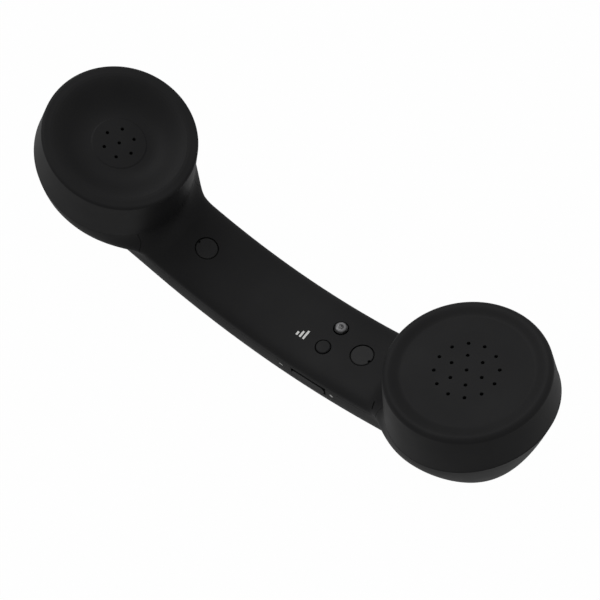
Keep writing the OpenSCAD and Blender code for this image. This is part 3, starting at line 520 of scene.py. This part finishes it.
plugPlaces = [onFace(-controls["earPlugX"]), onFace(controls["mouthPlugX"])]

frontShell = shellMesh("frontShell", True, 72, 40, 24)
bosses = bmesh.new()
for place in plugPlaces:
    addTube(bosses, place, controls["bossWide"] / 2, -controls["bossDeep"], -handset["skin"] / 2)
combine(frontShell, bosses, "UNION")
tools = bmesh.new()
for place in plugPlaces:
    addTube(tools, place, controls["plugWide"] / 2 + controls["plugGap"], -controls["plugThick"] - 0.05, 6)
combine(frontShell, tools, "DIFFERENCE")
tools = bmesh.new()
for place in plugPlaces:
    addTube(tools, place, controls["headWide"] / 2 + 0.3, -controls["headSeat"], 0)
addTube(tools, onFace(controls["buttonX"], -controls["controlY"], -controlDrop),
        controls["buttonWide"] / 2 + controls["keyGap"], -5, 6)
addTube(tools, onFace(controls["lensX"], controls["controlY"], -controlDrop),
        controls["lensWide"] / 2 + controls["keyGap"], -5, 6)
slitAt = Matrix.Translation((-form.edgeIn.x - 0.25, -14.9, form.edgeIn.y - 6.9))
addBrick(tools, slitAt @ Matrix.Rotation(math.radians(-45), 4, "Y"), (0.6, 2.6, 8))
combine(frontShell, tools, "DIFFERENCE")
tools = bmesh.new()
for place in plugPlaces:
    addTube(tools, place, 1.55, -controls["bossDeep"] - 1, 0)
combine(frontShell, tools, "DIFFERENCE")
finishPiece(frontShell, softBlack, "body")
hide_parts("handle_front")
print("front shell:", len(frontShell.data.polygons), "faces")

backShell = shellMesh("backShell", False, 120, 40, 24)
bosses = bmesh.new()
inBack = -handset["thick"] + handset["skin"] / 2
for place in plugPlaces:
    addTube(bosses, place, controls["backBossWide"] / 2, inBack, -controls["bossDeep"] - 0.1)
combine(backShell, bosses, "UNION")


def block(bm, place, x, y, long, wide, low, high):
    addBrick(bm, place @ Matrix.Translation((x, y, (low + high) / 2)), (long, wide, high - low))


batteryAt, boardAt = onFace(inside["batteryX"]), onFace(inside["boardX"])
ribs = bmesh.new()
for k in (-1, 0, 1):
    block(ribs, batteryAt, k * inside["ribStep"], 0, inside["ribThick"], inside["ribWide"], inBack, -inside["ribTop"])
for x in inside["boardRibX"]:
    block(ribs, boardAt, x, 0, inside["ribThick"], inside["ribWide"], inBack, inBack + inside["boardRibHigh"])
combine(backShell, ribs, "UNION")
posts = bmesh.new()
for x, y in inside["posts"]:
    block(posts, boardAt, x, y * 0.7, inside["ribThick"], inside["bridgeWide"], -inside["bridgeLow"],
          -inside["bridgeTop"])
combine(backShell, posts, "UNION")
posts = bmesh.new()
for x, y in inside["posts"]:
    addTube(posts, boardAt @ Matrix.Translation((x, y, 0)), inside["postWide"] / 2, -inside["postLow"],
            -inside["boardUnder"] - 0.05, 48)
combine(backShell, posts, "UNION")
tools = bmesh.new()
low = rockerZ - controls["rockerHigh"] / 2 - controls["keyGap"]
high = -handset["crown"] + 1
addBrick(tools, onFace(controls["rockerX"], -handset["halfWidth"], (low + high) / 2),
         (controls["rockerLong"] + 2 * controls["keyGap"], 10, high - low))
portLow = -controls["boardDepth"] + 0.05 - controls["portRoom"]
portHigh = portLow + controls["portHigh"] + 2 * controls["portRoom"]
addBrick(tools, onFace(controls["portX"], handset["halfWidth"], (portLow + portHigh) / 2),
         (controls["portWide"] + 2 * controls["portRoom"], 8, portHigh - portLow))
addBrick(tools, Matrix.Translation((0, 0, -2.5)), (120, 60, 5))
for x, y in inside["posts"]:
    addTube(tools, boardAt @ Matrix.Translation((x, y, 0)), inside["screwWide"] / 2,
            -inside["boardUnder"] - inside["screwDeep"], 0, 32)
for place in plugPlaces:
    addTube(tools, place, 1.3, -controls["headSeat"] - 11, 0)
combine(backShell, tools, "DIFFERENCE")
finishPiece(backShell, softBlack, "body")
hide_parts("handle_back")
print("back shell:", len(backShell.data.polygons), "faces")

# printed marks: a plain three-bar mark by the answer button, minus and plus beside the rocker
prints = dict(markX=12.4, markY=-4.7, barLong=(1.6, 2.8, 4.0), barWide=0.8, barStep=1.5, minusX=11.2, plusX=33.4,
              signDepth=7.6, signLong=1.7, signWide=0.45, lift=0.03)


def printed(name, patches):
    # thin sheets laid on a surface; each patch is a list of rows of points
    verts, faces = [], []
    for rows in patches:
        base, wide = len(verts), len(rows[0])
        verts += [p * mm for row in rows for p in row]
        for i in range(len(rows) - 1):
            for j in range(wide - 1):
                a = base + i * wide + j
                faces.append((a, a + 1, a + wide + 1, a + wide))
    mesh = bpy.data.meshes.new(name)
    mesh.from_pydata(verts, [], faces)
    piece = bpy.data.objects.new(name, mesh)
    bpy.context.scene.collection.objects.link(piece)
    finishPiece(piece, printWhite, "body")
    return piece


def facePatch(x, y, long, wide, turn):
    # a bar on the handle's face, long along its own first axis, turned about the face's normal
    rows = []
    c, s = math.cos(turn), math.sin(turn)
    for i in range(9):
        u = (i / 8 - 0.5) * long
        row = []
        for v in (-wide / 2, wide / 2):
            px, py = x + u * c - v * s, y + u * s + v * c
            row.append(onFace(px, py, prints["lift"] - crownDrop(py)) @ Vector((0, 0, 0)))
        rows.append(row)
    return rows


def sidePatch(x, depth, long, high):
    # a bar on the side below the parting edge, long along the handle
    rows = []
    for i in range(9):
        u = x + (i / 8 - 0.5) * long
        row = []
        for v in (-high / 2, high / 2):
            down = (depth + v - handset["crown"]) / (handset["thick"] - handset["crown"])
            out = handset["halfWidth"] * (1 - down ** handset["backSquare"]) ** (1 / handset["backSquare"])
            row.append(onFace(u, -out - prints["lift"], -depth - v) @ Vector((0, 0, 0)))
        rows.append(row)
    return rows


bars = []
for k, long in enumerate(prints["barLong"]):
    x = prints["markX"] + (k - 1) * prints["barStep"]
    bars.append(facePatch(x, prints["markY"] + long / 2 - 2.0, long, prints["barWide"], math.pi / 2))
printed("barMark", bars)
printed("minusMark", [sidePatch(prints["minusX"], prints["signDepth"], prints["signLong"], prints["signWide"])])
printed("plusMark", [sidePatch(prints["plusX"], prints["signDepth"], prints["signLong"], prints["signWide"]),
                     sidePatch(prints["plusX"], prints["signDepth"], prints["signWide"], prints["signLong"])])
print("marks printed")

# clear lens over a bright cup, with painted light in its colour: a painted pale spot in the middle where the cup shows
# through, a painted highlight ring, and painted dark bands of shade between them and at the edge
lensPaintedLightRings = ((0.0, 0.75), (0.2, 0.7), (0.28, 0.06), (0.42, 0.08), (0.56, 0.38), (0.7, 0.28), (0.82, 0.03), (1.0, 0.015))


def clearLens(name, middle, radius, paintedLightRings):
    mat, tree, skin = startMaterial(name, (0.9, 0.92, 0.94), 0.08)
    skin.inputs["Transmission Weight"].default_value = 0.25
    skin.inputs["IOR"].default_value = 1.49
    place = addNode(tree, "ShaderNodeTexCoord")
    away = addNode(tree, "ShaderNodeVectorMath", operation="DISTANCE")
    away.inputs[1].default_value = middle
    share = addNode(tree, "ShaderNodeMath", operation="DIVIDE")
    share.inputs[1].default_value = radius
    # painted light: the ramp lays the pale spot, the highlight ring and the dark bands of shade into the base colour by
    # distance from the lens's middle
    ramp = addNode(tree, "ShaderNodeValToRGB")
    steps = ramp.color_ramp.elements
    for k, (at, level) in enumerate(paintedLightRings):
        step = steps[k] if k < 2 else steps.new(at)
        step.position, step.color = at, (level, level, level * 1.02, 1.0)
    tree.links.new(place.outputs["Object"], away.inputs[0])
    tree.links.new(away.outputs["Value"], share.inputs[0])
    tree.links.new(share.outputs["Value"], ramp.inputs["Fac"])
    tree.links.new(ramp.outputs["Color"], skin.inputs["Base Color"])
    roughBetween(tree, skin, speckle(tree, 1.2, 3.0), 0.05, 0.14)
    return mat


lensMiddle = onFace(controls["lensX"], controls["controlY"], -controlDrop + 0.6) @ Vector((0, 0, 0)) * mm
lensClear = clearLens("lensClear", lensMiddle, controls["lensWide"] / 2 * mm, lensPaintedLightRings)

# finishes of the pieces that stay as modelled
dress = {
    "ear_cap": softBlack, "mouth_cap": softBlack,
    "ear_plug": plugBlack, "mouth_plug": plugBlack, "answer_button": keyRubber, "volume_rocker": keyRubber,
    "lamp_lens": lensClear, "lamp": lampChip, "shell_screws": screwSteel, "board_screws": screwSteel,
    "speaker_screws": screwSteel, "answer_switch": tinnedSteel, "rocker_pin": tinnedSteel,
    "rocker_bracket": tinnedSteel, "rocker_switches": switchDark, "main_board": boardGreen,
    "radio_can": tinnedSteel, "wire_sockets": socketWhite, "charge_socket": tinnedSteel, "battery": batteryFoil,
    "battery_pad": foamGrey, "speaker_gasket": foamGrey, "speaker_frame": pressedSteel,
    "speaker_magnet": magnetDark, "voice_coil": coilCopper, "speaker_cone": conePaper,
    "speaker_terminal": boardBrown, "speaker_clamp": pressedSteel, "ear_mesh": meshCloth, "mic_mesh": meshCloth,
    "mic_boot": bootRubber, "mic_capsule": tinnedSteel, "battery_wires": wireRed, "speaker_wires": wireRed,
    "mic_wires": wireWhite,
}
for name, mat in dress.items():
    mesh = nodes[name].data
    mesh.materials.clear()
    mesh.materials.append(mat)
    mesh.polygons.foreach_set("use_smooth", [True] * len(mesh.polygons))
    mesh.set_sharp_from_angle(angle=math.radians(28))
print("nodes dressed:", len(dress))
